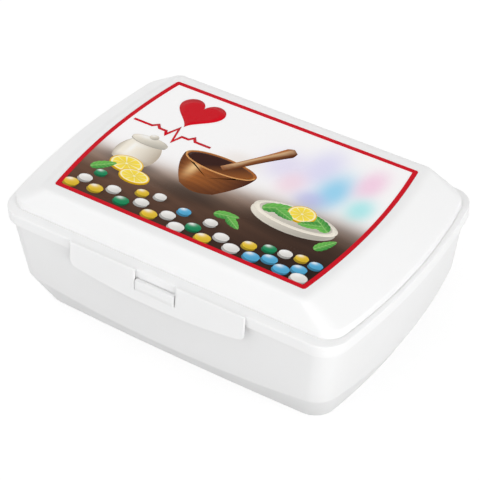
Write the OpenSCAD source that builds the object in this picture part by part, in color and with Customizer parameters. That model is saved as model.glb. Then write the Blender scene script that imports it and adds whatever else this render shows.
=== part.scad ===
// Medicine organizer box: a moulded tub, a hinged lid with an in-mould label,
// a snap flap on the front, two hinge pins, and a removable organizer insert.
// Millimetres, +Z up, the front faces -Y, the box rests on Z = 0.

/* [Lid] */
// Width of the lid's rim, side to side, at the middle of its bowed sides
lid_w = 200; // [180:1:230]
// Depth of the lid's rim, front to back
lid_d = 131.4; // [120:0.2:150]
// How far the middle of each side stands out past the corners
side_bow = 4.5; // [2:0.1:7]
// Corner radius of the rim, seen from above
rim_r = 13; // [10:0.5:18]
// Height of the skirt that hangs outside the tub
skirt_h = 6; // [5:0.2:8]
// Wall of the skirt
skirt_t = 1.2; // [1:0.1:1.5]
// Width of the shelf between the rim's edge and the step, on the two sides
shelf_w = 2.9; // [2.4:0.1:4]
// Width of the shelf at the front and the back
shelf_front = 5.7; // [4.4:0.1:7]
// Rise of the shelf from the rim's edge to the step
shelf_rise = 0.8; // [0.4:0.1:1.2]
// Depth of the groove that runs along the foot of the step
groove_t = 0.5; // [0.3:0.1:0.8]
// Width of that groove
groove_w = 0.9; // [0.5:0.1:1.5]
// Height of the step between the shelf and the shoulder
step_h = 2.6; // [1.5:0.1:4]
// How much taller the step is at the front and the back
step_lift = 1.3; // [0:0.1:2]
// Rise of the sloping shoulder from the step to the plateau
shoulder_h = 11.4; // [8:0.2:15]
// Run of the shoulder on the two sides
shoulder_side = 17.9; // [13:0.1:22]
// Run of the shoulder at the front and the back
shoulder_front = 3.4; // [2.6:0.1:6]
// Corner radius of the plateau
plateau_r = 5; // [3:0.5:8]
// Wall of the lid above the shelf
lid_t = 1.5; // [1.2:0.1:2]
// Thickness of the shelf at the rim's edge
shelf_t = 1; // [0.8:0.1:1.5]
// Rounding of the rim's top edge
edge_round = 0.6; // [0.4:0.1:1]
// Width of the locating rib under the shelf
lip_t = 1.2; // [1:0.1:1.6]
// Gap between the locating rib and the tub's inner wall
lip_gap = 1; // [0.8:0.1:1.4]
// How far the locating rib reaches down into the tub
lip_h = 1.2; // [0.8:0.1:2]

/* [Tub] */
// Height of the tub's top edge above the surface it stands on
tub_h = 56.7; // [50:0.1:65]
// Wall of the tub
wall_t = 1.6; // [1.2:0.1:2]
// Thickness of the tub's floor
floor_t = 1.8; // [1.4:0.1:2.4]
// Gap between the skirt and the tub's wall
skirt_gap = 0.3; // [0.2:0.05:0.5]
// How far the side walls lean in, from the top down to the bevel
draft_side = 4.5; // [2:0.1:6]
// How far the front and back walls lean in, from the top down to the bevel
draft_front = 1.5; // [0.5:0.1:3]
// How far the front and back walls belly out at the bevel's middle
belly = 1.6; // [0.5:0.1:2.5]
// Height of the bevel at the middle of each wall
bevel_h = 14.8; // [10:0.1:18]
// How much higher the bevel stands at the corners
bevel_lift = 3.9; // [0:0.1:5]
// How far the bevel runs in towards the foot at the front and the back
bevel_run = 8; // [5:0.1:11]
// How far the bevel runs in towards the foot on the two sides
bevel_side = 6.4; // [4:0.1:11]
// Corner radius of the foot
foot_r = 11.5; // [9:0.5:16]
// Ease of the foot's edge
foot_ease = 0.6; // [0.3:0.1:1]

/* [Label] */
// Margin between the label and the plateau's edge on the two sides
label_side = 4.2; // [3:0.1:12]
// Margin between the label and the plateau's edge at the front and the back
label_front = 6.4; // [3:0.1:12]
// Thickness of the label film, which lies flush in the plateau
label_t = 0.2; // [0.1:0.05:0.4]
// Corner radius of the label
label_r = 1.5; // [0.5:0.5:3]
// Gap all round between the label and its recess
label_gap = 0.1; // [0.05:0.05:0.2]

/* [Latch flap] */
// Width of the flap
flap_w = 99; // [80:1:116]
// Wall of the flap
flap_t = 1.1; // [1:0.1:1.6]
// Height from the flap's hinge line down to its lower corners
flap_side_h = 12.4; // [11:0.2:16]
// How much lower the flap's bowed edge is at its middle
flap_bow = 3.8; // [2:0.2:7]
// Corner radius of the flap
flap_r = 4; // [2:0.5:6]
// Gap between the flap's plate and the skirt
flap_gap = 0.3; // [0.25:0.05:0.8]
// Gap between the bead on the flap's hinge line and the rim
line_gap = 0.2; // [0.15:0.05:0.3]
// How far the flap's lower edge stands out past its hinge line
flap_flare = 2.4; // [0:0.1:3]
// Width of the tongue between the two slits in the flap
tongue_w = 22; // [20:0.2:30]
// Width of each slit
slit_w = 0.6; // [0.3:0.1:0.8]
// How far the tongue stands out past the flap's face
tongue_out = 0.5; // [0.3:0.1:1]
// Height of the window above the tongue's ledge
window_h = 5.2; // [3.6:0.2:5.6]
// Thickness of the ledge where it reaches in towards the skirt
ledge_t = 1; // [0.8:0.1:1.5]
// Height of the tongue, from its ledge down to its root
tongue_h = 5.8; // [5:0.2:9]
// How far the hook inside the flap reaches under the tub's catch
hook_bite = 1.1; // [0.8:0.1:1.4]
// Distance from each side of the tongue to the hook's end
hook_in = 1.7; // [1:0.1:3]
// Height of the hook
hook_h = 2.2; // [1.6:0.2:2.8]
// Gap between the hook and the catch when the flap is shut
hook_gap = 0.5; // [0.3:0.1:0.8]

/* [Rear hinge] */
// Diameter of each hinge pin
pin_d = 2.5; // [2:0.1:3]
// Running gap round the pin, on the radius
pin_gap = 0.05; // [0.03:0.01:0.08]
// Wall round each pin bore
eye_wall = 1.9; // [1.5:0.1:2.4]
// Distance of each hinge from the middle of the box
hinge_x = 45; // [30:1:60]
// Width of the lid's knuckle
knuckle_w = 12; // [8:0.5:18]
// Width of each of the tub's two ears beside the knuckle
ear_w = 5; // [4:0.5:8]
// Gap between a knuckle and an ear
ear_gap = 0.4; // [0.3:0.1:0.8]
// Gap between an eye and the skirt in front of it
eye_gap = 0.4; // [0.3:0.1:0.8]
// Height of the pins' axis below the shelf's edge
pin_drop = 5.7; // [5:0.1:6.5]

/* [Organizer] */
// Thickness of each divider
divider_t = 1.6; // [1.2:0.1:2.2]
// Height of the dividers' top edge above the tub's floor
divider_h = 27; // [22:1:30]
// Distance between neighbouring cross dividers
cross_pitch = 46; // [40:1:50]
// Gap between a divider and what it stands in
divider_gap = 0.3; // [0.2:0.05:0.5]
// Thickness of each guide rib
rib_t = 1.4; // [1:0.1:2]
// How far each guide rib stands out from the wall
rib_out = 2.2; // [1.8:0.1:3]
// Height of the pill tray
tray_h = 17; // [14:0.5:19]
// Wall of the pill tray
tray_t = 1.5; // [1.2:0.1:2]
// Corner radius of each tray cell
cell_r = 5; // [3:0.5:8]
// Gap between the tray and the tub's walls
tray_gap = 0.5; // [0.3:0.1:0.8]
// Cells of the tray, front to back
tray_rows = 3; // [2:1:4]
// Cells of the tray, side to side
tray_columns = 2; // [1:1:3]
// Depth of the keys under the tray that straddle the middle divider
key_h = 2.5; // [1.5:0.5:4]

/* [Hidden] */
white = [0.96, 0.96, 0.97];
round_fn = 64;
overcut = 4;
joint_overlap = 0.4;
step_lean = 0.2;
groove_drop = 0.2;

// Points along one side, one end and one corner of an outline
side_steps = 10;
end_steps = 8;
corner_steps = 6;

// Heights
shelf_gap = 0.2;
under_z = tub_h + shelf_gap;
edge_z = under_z + shelf_t;
shelf_z = edge_z + shelf_rise;
skirt_z = edge_z - skirt_h;
under_skirt = 0.6;
step_z = shelf_z + step_h;
plateau_z = step_z + shoulder_h;
divider_z = floor_t + divider_h;

// The rim's half sizes at its corners
rim_a = lid_w / 2 - side_bow;
rim_b = lid_d / 2;
step_b = rim_b - shelf_front;
plateau_a = rim_a - shelf_w - shoulder_side;
plateau_b = step_b - shoulder_front;
plateau_bow = side_bow + 0.1;

// The tub's wall, measured in from the rim
tub_in = skirt_t + skirt_gap;
top_r = rim_r - tub_in;
lip_in = tub_in + wall_t + lip_gap;

// The flap and its catch, as distances out from the middle of the box
plate_out = rim_b + flap_gap;
face_out = plate_out + flap_t;
bead_r = (flap_t + flap_gap - line_gap) / 2;
bead_out = face_out - bead_r;
bead_z = edge_z - 0.2;
flap_side_z = bead_z - flap_side_h;
flap_mid_z = flap_side_z - flap_bow;
ledge_z = bead_z - window_h + bead_r;
root_z = ledge_z - tongue_h;
front_out = face_out + flap_flare;
tub_wall_out = rim_b - tub_in;
catch_tip = plate_out + 0.4;
catch_t = 1.2;
hook_w = tongue_w - 2 * hook_in;
catch_w = hook_w - 2;
hook_z = root_z + 0.8;
catch_z = hook_z + hook_gap;
catch_top_z = skirt_z - under_skirt;
hook_out = catch_tip - hook_bite;

// The rear hinge
eye_r = pin_d / 2 + pin_gap + eye_wall;
pin_out = rim_b + eye_gap + eye_r;
pin_z = edge_z - pin_drop;
hinge_w = knuckle_w + 2 * (ear_gap + ear_w);

// The box is centred front to back between the flap's lower edge and the hinge's back
mid_y = (pin_out + eye_r - front_out) / 2;

// The organizer
cross_x = [-cross_pitch, 0, cross_pitch];
tray_z = divider_z + 0.2;
tray_right = divider_t / 2 + divider_gap + rib_t;
tray_floor_t = 1.4;

// Outline of a rounded rectangle whose four sides bow outwards as parabolas.
// a and b are the half sizes at the corners, counter-clockwise from the front right.
function side_slope(bow, half, t) = 2 * bow * t / half;
function along(bow, half, r, t) =
    let (m = side_slope(bow, half, t), n = sqrt(1 + m * m))
    [bow * (1 - t * t) + r / n, half * t + r * m / n];
function corner(p, r, from, to) =
    [for (i = [1 : corner_steps - 1]) let (u = from + (to - from) * i / corner_steps)
        p + r * [cos(u), sin(u)]];
function outline(a, b, bow_x, bow_y, r) =
    let (ai = a - r, bi = b - r,
        ex = atan(side_slope(bow_x, bi, 1)), ey = atan(side_slope(bow_y, ai, 1)),
        side = [for (i = [0 : side_steps]) along(bow_x, bi, r, 2 * i / side_steps - 1)],
        end = [for (i = [0 : end_steps]) along(bow_y, ai, r, 2 * i / end_steps - 1)])
    concat(
        [for (p = side) [ai + p.x, p.y]],
        corner([ai, bi], r, ex, 90 - ey),
        [for (p = end) [-p.y, bi + p.x]],
        corner([-ai, bi], r, 90 + ey, 180 - ex),
        [for (p = side) [-ai - p.x, -p.y]],
        corner([-ai, -bi], r, 180 + ex, 270 - ey),
        [for (p = end) [p.y, -bi - p.x]],
        corner([ai, -bi], r, 270 + ey, 360 - ex));

// A ring is an outline at a height, which may rise towards the corners
function ring(points, z) = [for (p = points) [p.x, p.y, z]];
function lifted(points, z, lift, ai, bi) =
    [for (p = points) let (u = min(1, abs(p.x) / ai), v = min(1, abs(p.y) / bi))
        [p.x, p.y, z + lift * u * u * v * v]];

// A ring that rises towards the front and the back
function raised(points, z, lift, bi) =
    [for (p = points) [p.x, p.y, z + lift * pow(min(1, abs(p.y) / bi), 6)]];

// A closed solid through rings of equal length, from the lowest up
module loft(rings) {
    n = len(rings[0]);
    last = (len(rings) - 1) * n;
    walls = [for (k = [0 : len(rings) - 2], i = [0 : n - 1])
        let (p = k * n + i, q = k * n + (i + 1) % n)
        each [[p, p + n, q], [q, p + n, q + n]]];
    bottom = [for (i = [0 : n - 1]) i];
    top = [for (i = [n - 1 : -1 : 0]) last + i];
    polyhedron(points = [for (r = rings) each r], faces = concat([bottom], walls, [top]));
}

// Outlines of the lid and the tub, drawn in by a distance from the rim or the wall
function rim_outline(inset) =
    outline(rim_a - inset, rim_b - inset, side_bow, 0, max(rim_r - inset, 2));
function step_outline(inset) =
    outline(rim_a - shelf_w - inset, step_b - inset, side_bow, 0, max(rim_r - shelf_w - inset, 2));
function plateau_outline(inset) =
    outline(plateau_a - inset, plateau_b - inset, plateau_bow, 0.2, max(plateau_r - inset, 1.5));
function tub_top(inset) = rim_outline(tub_in + inset);
function tub_bevel(inset) =
    outline(rim_a - tub_in - draft_side - inset, rim_b - tub_in - draft_front - inset,
        side_bow * 0.85, belly, max(top_r + 1 - inset, 2));
function tub_foot(inset) =
    outline(rim_a - tub_in - draft_side - bevel_side - inset,
        rim_b - tub_in - draft_front - bevel_run - inset,
        side_bow * 0.75, belly * 0.7, max(foot_r - inset, 2));
function bevel_ring(inset, up) =
    lifted(tub_bevel(inset), bevel_h + up, bevel_lift,
        rim_a - tub_in - draft_side - top_r, rim_b - tub_in - draft_front - top_r);

// The tub's outer form, and its cavity drawn in by a distance from the inner wall
module tub_form() {
    loft([ring(tub_foot(foot_ease), 0), ring(tub_foot(0), 1), bevel_ring(0, 0), ring(tub_top(0), tub_h)]);
}
module tub_cavity(inset) {
    t = wall_t + inset;
    loft([ring(tub_foot(t + foot_ease), floor_t), bevel_ring(t, wall_t * 0.6),
        ring(tub_top(t), tub_h), ring(tub_top(t), tub_h + overcut)]);
}

// An eye round the pins' axis with its web, drawn in a plane across the axis.
// The first coordinate is the distance out, the second the height.
module eye_plate(web) {
    translate([pin_out, pin_z])
        circle(r = eye_r, $fn = round_fn);
    polygon(web);
}
module across(x, w) {
    translate([x - w / 2, 0, 0])
        rotate([90, 0, 90])
            linear_extrude(w)
                children();
}
module pin_bore(x, w) {
    translate([x - w / 2, pin_out, pin_z])
        rotate([0, 90, 0])
            cylinder(r = pin_d / 2 + pin_gap, h = w, $fn = round_fn);
}

module centred() {
    translate([0, -mid_y, 0])
        children();
}

function ear_x(side, hand) = side * hinge_x + hand * (knuckle_w / 2 + ear_gap + ear_w / 2);

// Ears behind the tub, in pairs, with webs that run down the wall
module tub_ears() {
    web = [[tub_wall_out - wall_t / 2, catch_top_z], [pin_out - 0.6 * eye_r, catch_top_z],
        [pin_out, pin_z], [pin_out + 0.35 * eye_r, pin_z - 0.93 * eye_r],
        [tub_wall_out - wall_t / 2, pin_z - 3.2 * eye_r]];
    for (side = [-1, 1], hand = [-1, 1])
        difference() {
            across(ear_x(side, hand), ear_w)
                eye_plate(web);
            pin_bore(ear_x(side, hand), ear_w + 2 * overcut);
        }
}

// The catch on the front wall: flat underneath, ramped on top
module tub_catch() {
    inside = tub_wall_out - wall_t / 2;
    front()
        across(0, catch_w)
            polygon([[inside, catch_z], [catch_tip, catch_z], [catch_tip, catch_z + catch_t],
                [tub_wall_out + 0.3, catch_top_z], [inside, catch_top_z]]);
}
module front() {
    mirror([0, 1, 0])
        children();
}

// Pairs of ribs that hold the dividers' ends, grown from the walls
module guide_ribs() {
    low_z = floor_t / 2;
    rib_h = divider_z - rib_t - low_z;
    half_slot = divider_t / 2 + divider_gap;
    intersection() {
        tub_form();
        difference() {
            union() {
                for (x = cross_x, hand = [-1, 1])
                    translate([x + hand * (half_slot + rib_t / 2) - rib_t / 2, -lid_d / 2, low_z])
                        cube([rib_t, lid_d, rib_h]);
                for (hand = [-1, 1])
                    translate([-lid_w / 2, hand * (half_slot + rib_t / 2) - rib_t / 2, low_z])
                        cube([lid_w, rib_t, rib_h]);
            }
            tub_cavity(rib_out);
        }
    }
}

module base_tub() {
    color(white)
        centred() {
            difference() {
                union() {
                    tub_form();
                    tub_ears();
                    tub_catch();
                }
                tub_cavity(0);
            }
            guide_ribs();
        }
}

// The knuckle behind the lid's skirt
module lid_knuckle(side) {
    inside = rim_b - skirt_t / 2;
    web = [[inside, skirt_z + 0.4], [pin_out - 0.5 * eye_r, pin_z - 0.4 * eye_r],
        [pin_out + 0.5 * eye_r, pin_z + 0.8 * eye_r], [rim_b - 0.2, edge_z - 0.3],
        [inside, edge_z - 0.3]];
    difference() {
        across(side * hinge_x, knuckle_w)
            eye_plate(web);
        pin_bore(side * hinge_x, knuckle_w + 2 * overcut);
    }
}

// A low rib under the shelf that centres the lid inside the tub's mouth
module locating_rib() {
    translate([0, 0, tub_h - lip_h])
        linear_extrude(lip_h + shelf_gap + joint_overlap)
            difference() {
                polygon(rim_outline(lip_in));
                polygon(rim_outline(lip_in + lip_t));
            }
}

module lid_shell() {
    well = max(lip_in + lip_t - shelf_w, lid_t);
    color(white)
        centred() {
            difference() {
                loft([ring(rim_outline(0), skirt_z), ring(rim_outline(0), edge_z - edge_round),
                    ring(rim_outline(0.3 * edge_round), edge_z - 0.3 * edge_round),
                    ring(rim_outline(edge_round), edge_z + 0.1),
                    ring(step_outline(-step_lean - groove_w), shelf_z - groove_drop),
                    ring(step_outline(-step_lean), shelf_z - groove_t),
                    raised(step_outline(0), step_z, step_lift, step_b),
                    ring(plateau_outline(0), plateau_z)]);
                loft([ring(rim_outline(skirt_t), skirt_z - 1), ring(rim_outline(skirt_t), under_z),
                    ring(step_outline(well), under_z), ring(step_outline(well), step_z - lid_t),
                    ring(plateau_outline(lid_t), plateau_z - lid_t)]);
                translate([0, 0, plateau_z - label_t])
                    linear_extrude(overcut)
                        polygon(label_outline(label_gap));
            }
            locating_rib();
            for (side = [-1, 1])
                lid_knuckle(side);
        }
}

function label_outline(grow) =
    outline(plateau_a - label_side + grow, plateau_b - label_front + grow, plateau_bow * 0.9, 0,
        label_r + grow);

module lid_label() {
    color([0.85, 0.1, 0.12])
        centred()
            translate([0, 0, plateau_z - label_t])
                linear_extrude(label_t)
                    polygon(label_outline(0));
}

// Outline of the flap seen from the front: straight sides, rounded lower corners,
// and a lower edge on one wide arc. Heights are measured from the hinge line.
module flap_outline() {
    half = flap_w / 2;
    arc_r = (half * half + flap_bow * flap_bow) / (2 * flap_bow);
    corner_z = -flap_side_h + flap_r;
    intersection() {
        translate([0, arc_r - flap_side_h - flap_bow])
            circle(r = arc_r, $fn = 256);
        union() {
            translate([-half, corner_z - 0.5])
                square([flap_w, -corner_z + 0.5]);
            for (hand = [-1, 1])
                translate([hand * (half - flap_r), corner_z - 0.5])
                    circle(r = flap_r, $fn = round_fn);
            translate([-half + flap_r, -flap_side_h - flap_bow])
                square([flap_w - 2 * flap_r, flap_side_h + flap_bow]);
        }
    }
}

// The flap's plate leans out from its hinge line to its lower edge
function lean(z) = flap_flare * (bead_z - z) / (bead_z - flap_mid_z);
function plate_at(z, past) = [plate_out + lean(z) + past, z];

module flap_section() {
    low = flap_mid_z - 1;
    polygon([plate_at(bead_z, 0), plate_at(bead_z, flap_t), plate_at(low, flap_t), plate_at(low, 0)]);
}

// The tongue swells out of the plate above its root
module tongue() {
    low = root_z - joint_overlap;
    proud = flap_t + tongue_out;
    front()
        across(0, tongue_w)
            polygon([plate_at(low, 0), plate_at(low, flap_t), plate_at(root_z + 2, proud),
                plate_at(ledge_z - 0.4, proud), plate_at(ledge_z, proud - 0.3),
                [plate_out, ledge_z], [plate_out, ledge_z - ledge_t], plate_at(ledge_z - ledge_t, 0)]);
}

module latch_flap() {
    opening_w = tongue_w + 2 * slit_w;
    color(white)
        centred()
            union() {
                difference() {
                    intersection() {
                        front()
                            across(0, flap_w)
                                flap_section();
                        translate([0, 0, bead_z])
                            rotate([90, 0, 0])
                                linear_extrude(lid_d)
                                    flap_outline();
                    }
                    translate([-opening_w / 2, -lid_d, root_z])
                        cube([opening_w, lid_d, bead_z - root_z + overcut]);
                }
                tongue();
                front()
                    across(0, hook_w)
                        polygon([plate_at(hook_z - hook_h, joint_overlap),
                            [hook_out + 0.4, hook_z - 0.7 * hook_h], [hook_out, hook_z],
                            plate_at(hook_z, joint_overlap)]);
                for (hand = [-1, 1])
                    translate([hand * (opening_w / 2 + flap_w / 2) / 2, -bead_out, bead_z])
                        rotate([0, 90, 0])
                            cylinder(r = bead_r, h = (flap_w - opening_w) / 2, center = true,
                                $fn = round_fn);
            }
}

module hinge_pin(side) {
    color([0.78, 0.79, 0.8])
        centred()
            translate([side * hinge_x - hinge_w / 2, pin_out, pin_z])
                rotate([0, 90, 0])
                    cylinder(d = pin_d, h = hinge_w, $fn = round_fn);
}

// The room inside the tub that the dividers fill, just clear of its walls and floor
module divider_room() {
    intersection() {
        tub_cavity(divider_gap);
        translate([-lid_w / 2, -lid_d / 2, floor_t + 0.1])
            cube([lid_w, lid_d, divider_h - 0.1]);
    }
}

// A plate from front to back, notched from below where it laps over the long divider
module cross_divider(x) {
    lap = divider_t / 2 + divider_gap / 2;
    color(white)
        centred()
            difference() {
                intersection() {
                    divider_room();
                    translate([x - divider_t / 2, -lid_d / 2, 0])
                        cube([divider_t, lid_d, divider_z + 1]);
                }
                translate([x - divider_t, -lap, 0])
                    cube([2 * divider_t, 2 * lap, floor_t + divider_h / 2]);
            }
}

// A plate from side to side, notched from above where the cross dividers lap over it
module long_divider() {
    lap = divider_t / 2 + divider_gap / 2;
    color(white)
        centred()
            difference() {
                intersection() {
                    divider_room();
                    translate([-lid_w / 2, -divider_t / 2, 0])
                        cube([lid_w, divider_t, divider_z + 1]);
                }
                for (x = cross_x)
                    translate([x - lap, -divider_t, floor_t + divider_h / 2 - 0.1])
                        cube([2 * lap, 2 * divider_t, divider_h]);
            }
}

// A cell with rounded corners, drawn from two bars and four discs
module rounded_cell(w, d, r) {
    translate([r, 0])
        square([w - 2 * r, d]);
    translate([0, r])
        square([w, d - 2 * r]);
    for (x = [r, w - r], y = [r, d - r])
        translate([x, y])
            circle(r = r, $fn = 32);
}

// The cells as a grid; those along the wall run past it, and the tray's own wall bounds them
module tray_cells() {
    left = -rim_a - side_bow;
    near = -rim_b;
    inner_left = left + tub_in + wall_t + draft_side / 2 + tray_gap;
    inner_near = near + tub_in + wall_t + draft_front / 2 + tray_gap;
    cell_w = (tray_right - inner_left - (tray_columns + 1) * tray_t) / tray_columns;
    cell_d = (-2 * inner_near - (tray_rows + 1) * tray_t) / tray_rows;
    for (i = [0 : tray_columns - 1], j = [0 : tray_rows - 1]) {
        x = tray_right - tray_t - cell_w - i * (cell_w + tray_t);
        y = inner_near + tray_t + j * (cell_d + tray_t);
        more_x = i == tray_columns - 1 ? lid_w / 8 : 0;
        more_near = j == 0 ? lid_d / 8 : 0;
        more_far = j == tray_rows - 1 ? lid_d / 8 : 0;
        translate([x - more_x, y - more_near])
            rounded_cell(cell_w + more_x, cell_d + more_near + more_far, cell_r);
    }
}

module pill_tray() {
    color([0.93, 0.95, 0.97])
        centred()
            difference() {
                union() {
                    intersection() {
                        tub_cavity(tray_gap);
                        translate([-lid_w / 2, -lid_d / 2, tray_z])
                            cube([lid_w / 2 + tray_right, lid_d, tray_h]);
                    }
                    for (hand = [-1, 1])
                        translate([hand * (divider_t / 2 + divider_gap + rib_t / 2) - rib_t / 2,
                                -lid_d / 4, tray_z - key_h])
                            cube([rib_t, lid_d / 6, key_h + joint_overlap]);
                }
                intersection() {
                    tub_cavity(tray_gap + tray_t);
                    translate([0, 0, tray_z + tray_floor_t])
                        linear_extrude(tray_h)
                            tray_cells();
                }
            }
}

base_tub();
lid_shell();
lid_label();
latch_flap();
hinge_pin(-1);  // hinge_pin_left
hinge_pin(1);  // hinge_pin_right
long_divider();
cross_divider(-cross_pitch);  // cross_divider_left
cross_divider(0);  // cross_divider_middle
cross_divider(cross_pitch);  // cross_divider_right
pill_tray();
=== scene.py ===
import bpy
import numpy as np
from mathutils import Matrix, Vector
from mathutils.geometry import delaunay_2d_cdt


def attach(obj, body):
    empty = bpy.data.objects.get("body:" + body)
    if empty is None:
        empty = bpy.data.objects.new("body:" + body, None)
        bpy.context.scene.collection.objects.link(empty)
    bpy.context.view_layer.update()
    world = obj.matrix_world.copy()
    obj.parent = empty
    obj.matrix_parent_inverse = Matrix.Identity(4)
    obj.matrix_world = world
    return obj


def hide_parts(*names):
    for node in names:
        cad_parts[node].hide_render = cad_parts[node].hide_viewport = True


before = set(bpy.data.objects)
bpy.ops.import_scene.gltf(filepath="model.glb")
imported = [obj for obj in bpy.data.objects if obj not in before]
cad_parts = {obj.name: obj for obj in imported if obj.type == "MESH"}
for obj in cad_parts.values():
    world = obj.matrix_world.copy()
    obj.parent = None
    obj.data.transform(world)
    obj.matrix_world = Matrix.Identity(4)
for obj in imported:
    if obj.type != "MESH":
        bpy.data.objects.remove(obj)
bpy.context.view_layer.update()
MM = 0.001

# Sizes of the moulded parts in millimetres, as the solids have them: X to the right, Y backwards
# from the middle of the lid's rim, Z up from the foot. A name in _X or _Y is half of a width or of
# a depth, or a distance from the middle; _R is a radius, _T a thickness, _Z a height.
MID_Y = 1.5
RIM_X, RIM_Y, SIDE_BOW, RIM_R = 95.5, 65.7, 4.5, 13.0
STEP_X, STEP_Y, STEP_R, STEP_LIFT = 92.6, 60.0, 10.1, 1.3
PLATEAU_X, PLATEAU_Y, PLATEAU_BOW, PLATEAU_R = 74.7, 56.6, 4.6, 5.0
SKIRT_Z, UNDER_Z, EDGE_Z, SHELF_Z, STEP_Z, TOP_Z = 51.9, 56.9, 57.9, 58.7, 61.3, 72.7
SKIRT_T, LIP_OUT, LIP_IN, LIP_Z, LID_T = 1.2, 4.1, 5.3, 55.5, 1.5
TUB_H, WALL, FLOOR, TUB_IN = 56.7, 1.6, 1.8, 1.5
WAIST_X, WAIST_Y, WAIST_R, WAIST_BOW = RIM_X - 6, RIM_Y - 3, 12.5, 1.6
FOOT_X, FOOT_Y, FOOT_R, FOOT_BOW, FOOT_EASE = RIM_X - 12.4, RIM_Y - 11, 11.5, 1.12, 0.6
BEVEL_Z, BEVEL_LIFT, BEVEL_WALL, LIFT_X, LIFT_Y = 14.8, 3.9, 0.96, RIM_X - 17.5, RIM_Y - 14.5
FILM_X, FILM_Y, FILM_BOW, FILM_R, FILM_T, FILM_GAP = 70.5, 50.2, 4.14, 1.5, 0.2, 0.1
FLAP_X, FLAP_H, FLAP_BOW, FLAP_R, FLARE = 49.5, 12.4, 3.8, 4.0, 2.4
FACE, BACK, BEAD_Z, BEAD_R = 67.1, 66.0, 57.7, 0.6
TONGUE_X, TONGUE_OUT, SLIT, ROOT_Z, LEDGE_Z, LEDGE_T = 11.0, 0.5, 0.6, 47.3, 53.1, 1.0
PIN_OUT, PIN_Z, PIN_R, PIN_HALF, BORE_R, EYE_R = 69.3, 52.2, 1.25, 11.4, 1.3, 3.2
HINGE_X, EAR_OFF, EAR_HALF, KNUCKLE_HALF = 45.0, 8.9, 2.5, 6.0
DIVIDER_T, DIVIDER_LOW, DIVIDER_Z, CROSS_X = 1.6, 1.9, 28.8, (-46.0, 0.0, 46.0)
DIVIDER_GAP, NOTCH_HALF, NOTCH_Z = 0.3, 0.95, 15.25
RIB_OFF, RIB_HALF, RIB_OUT = 1.8, 0.7, 2.2
TRAY_Z, TRAY_TOP, TRAY_FLOOR, TRAY_RIGHT = 29.0, 46.0, 30.4, 2.5
TRAY_T, TRAY_GAP, CELL_R, LEAN_X, LEAN_Y = 1.5, 0.5, 5.0, 2.25, 0.75
KEY_OFF, KEY_HALF, KEY_Z, BORDER = 1.8, 0.7, 26.5, 2.3
SIDES, NO_TRIS = (-1, 1), np.zeros((0, 3), int)


# ---------------- surfaces

def bowed_outline(half_x, half_y, bow_x, bow_y, radius, side=36, end=54, bend=12):
    """Rounded rectangle with bowed sides. A side is a parabola between the corner centres,
    pushed out along its normal by the corner radius; a corner is an arc. Counter-clockwise from
    the front right, with the same number of points on every call, so that outlines can be lofted."""
    ax, ay = half_x - radius, half_y - radius

    def edge(bow, half, steps):
        t = np.linspace(-1, 1, steps + 1)
        slope = 2 * bow * t / half
        n = np.sqrt(1 + slope ** 2)
        return bow * (1 - t ** 2) + radius / n, half * t + radius * slope / n

    out, along = edge(bow_x, ay, side)
    right = np.stack([ax + out, along], 1)
    first, last = np.arctan(2 * bow_x / ay), np.pi / 2 - np.arctan(2 * bow_y / ax)
    turn = np.linspace(first, last, bend + 1)[1:-1]
    corner = [ax, ay] + radius * rays(turn)
    out, along = edge(bow_y, ax, end)
    back = np.stack([-along, ay + out], 1)
    half = np.concatenate([right, corner, back, (corner * [-1, 1])[::-1]])
    return np.concatenate([half, -half])


def rays(a):
    """The unit vector in the direction of each angle."""
    return np.stack([np.cos(a), np.sin(a)], 1)


def at_height(outline, z):
    """An outline as a ring of points at one height, or at a height for each point."""
    return np.column_stack([outline, np.broadcast_to(z, len(outline))])


def form(half_x, half_y, bow_x, bow_y, radius, least):
    """An outline as a function of how far it is drawn in, down to a least corner radius."""
    return lambda inset: bowed_outline(half_x - inset, half_y - inset, bow_x, bow_y,
                                       max(radius - inset, least))


rim = form(RIM_X, RIM_Y, SIDE_BOW, 0, RIM_R, 2)
step = form(STEP_X, STEP_Y, SIDE_BOW, 0, STEP_R, 2)
plateau = form(PLATEAU_X, PLATEAU_Y, PLATEAU_BOW, 0.2, PLATEAU_R, 1.5)
film = form(FILM_X, FILM_Y, FILM_BOW, 0, FILM_R, 0.4)
waist = form(WAIST_X, WAIST_Y, SIDE_BOW * 0.85, WAIST_BOW, WAIST_R, 2)
foot = form(FOOT_X, FOOT_Y, SIDE_BOW * 0.75, FOOT_BOW, FOOT_R, 2)


def bevel_ring(inset, up):
    """The ring where the wall meets the bevel. Its height rises with the square of the distance
    from both middle lines, so that it stands higher at the corners."""
    o = waist(inset)
    u, v = np.minimum(1, abs(o) / [LIFT_X, LIFT_Y]).T
    return at_height(o, BEVEL_Z + up + BEVEL_LIFT * u ** 2 * v ** 2)


def tub_top_ring(inset):
    """The tub's top edge, drawn in by an inset."""
    return at_height(rim(TUB_IN + inset), TUB_H)


def inside_ring(z, inset):
    """Where the tub's inner wall, drawn in by an inset, stands at one height: straight lines from
    the floor's ring to the bevel's ring and on to the top ring, cut at that height."""
    low = at_height(foot(WALL + inset + FOOT_EASE), FLOOR)
    mid = bevel_ring(WALL + inset, BEVEL_WALL)
    top = tub_top_ring(WALL + inset)
    t = ((z - FLOOR) / (mid[:, 2] - FLOOR))[:, None]
    s = ((z - mid[:, 2]) / (TUB_H - mid[:, 2]))[:, None]
    return np.where(t < 1, low + (mid - low) * t, mid + (top - mid) * s)


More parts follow.
